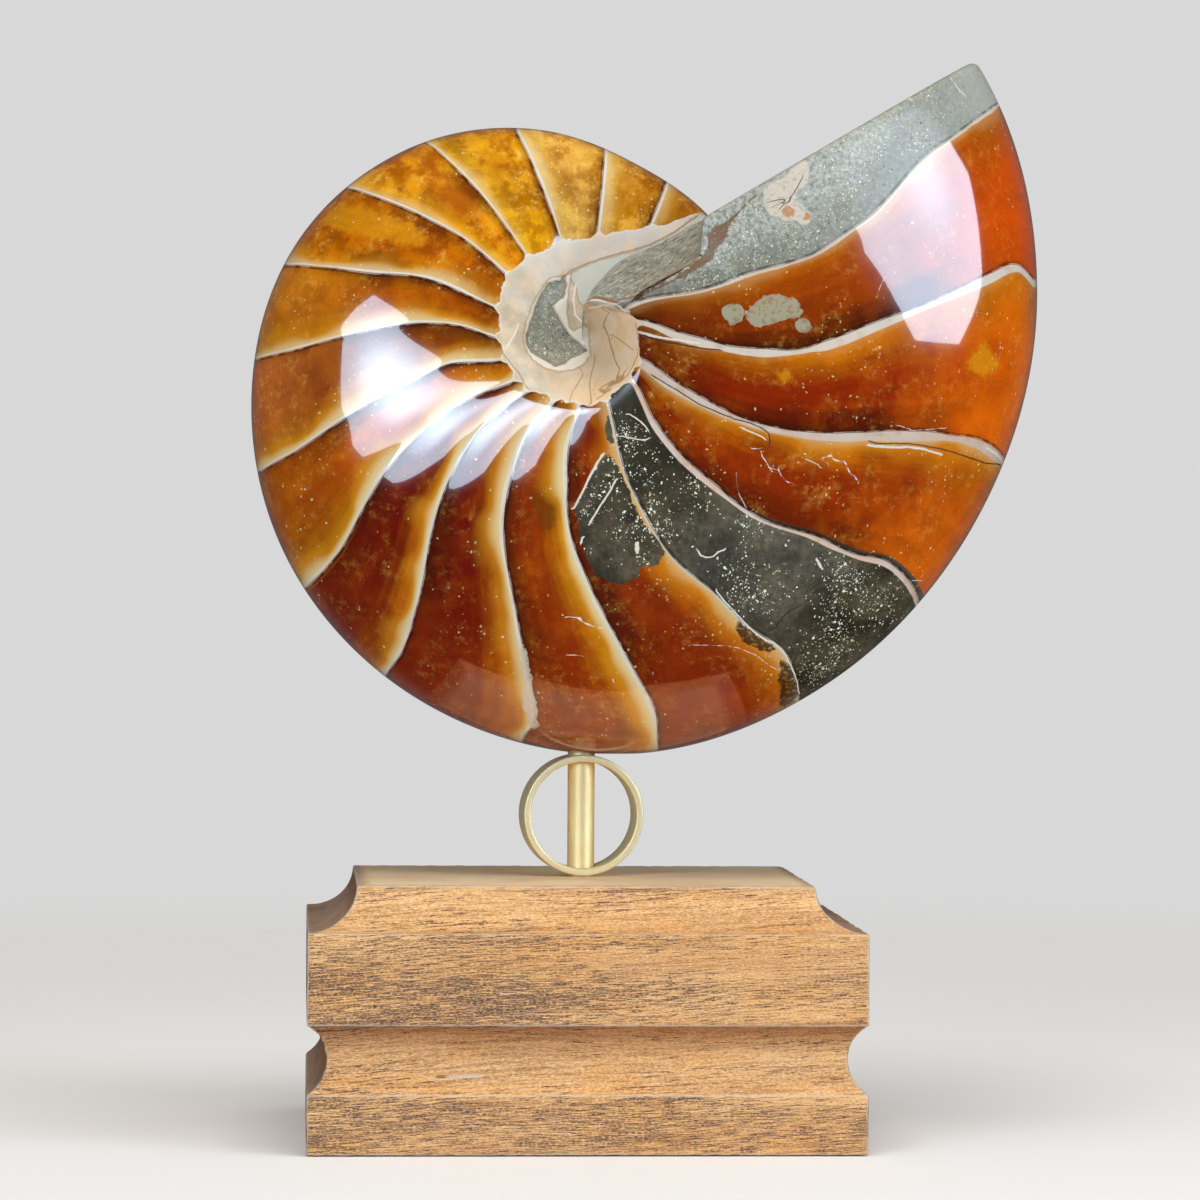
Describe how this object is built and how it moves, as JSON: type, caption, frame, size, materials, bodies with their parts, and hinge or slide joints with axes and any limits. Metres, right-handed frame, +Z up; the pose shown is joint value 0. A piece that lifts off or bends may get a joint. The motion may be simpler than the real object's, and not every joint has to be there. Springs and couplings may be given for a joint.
{
  "type": "fossil nautilus",
  "caption": "Polished fossil nautilus shell with a flat cut end, held upright by a brass rod and ring on a moulded wooden base.",
  "frame": {"origin": "middle of the wooden base's underside", "axes": "+Z up, +X to the right along the base's long side and across the shell's coil, +Y away from the viewer through the shell's thickness"},
  "size_m": [0.1457, 0.08, 0.1983],
  "materials": {
    "fossil_stone": "polished to a high gloss",
    "satin_brass": "satin",
    "stained_wood": "stained and waxed, satin"
  },
  "bodies": {
    "root": {"nautilus": "fossil_stone", "spacer_ring": "satin_brass", "support_rod": "satin_brass", "base": "stained_wood"}
  },
  "joints": []
}
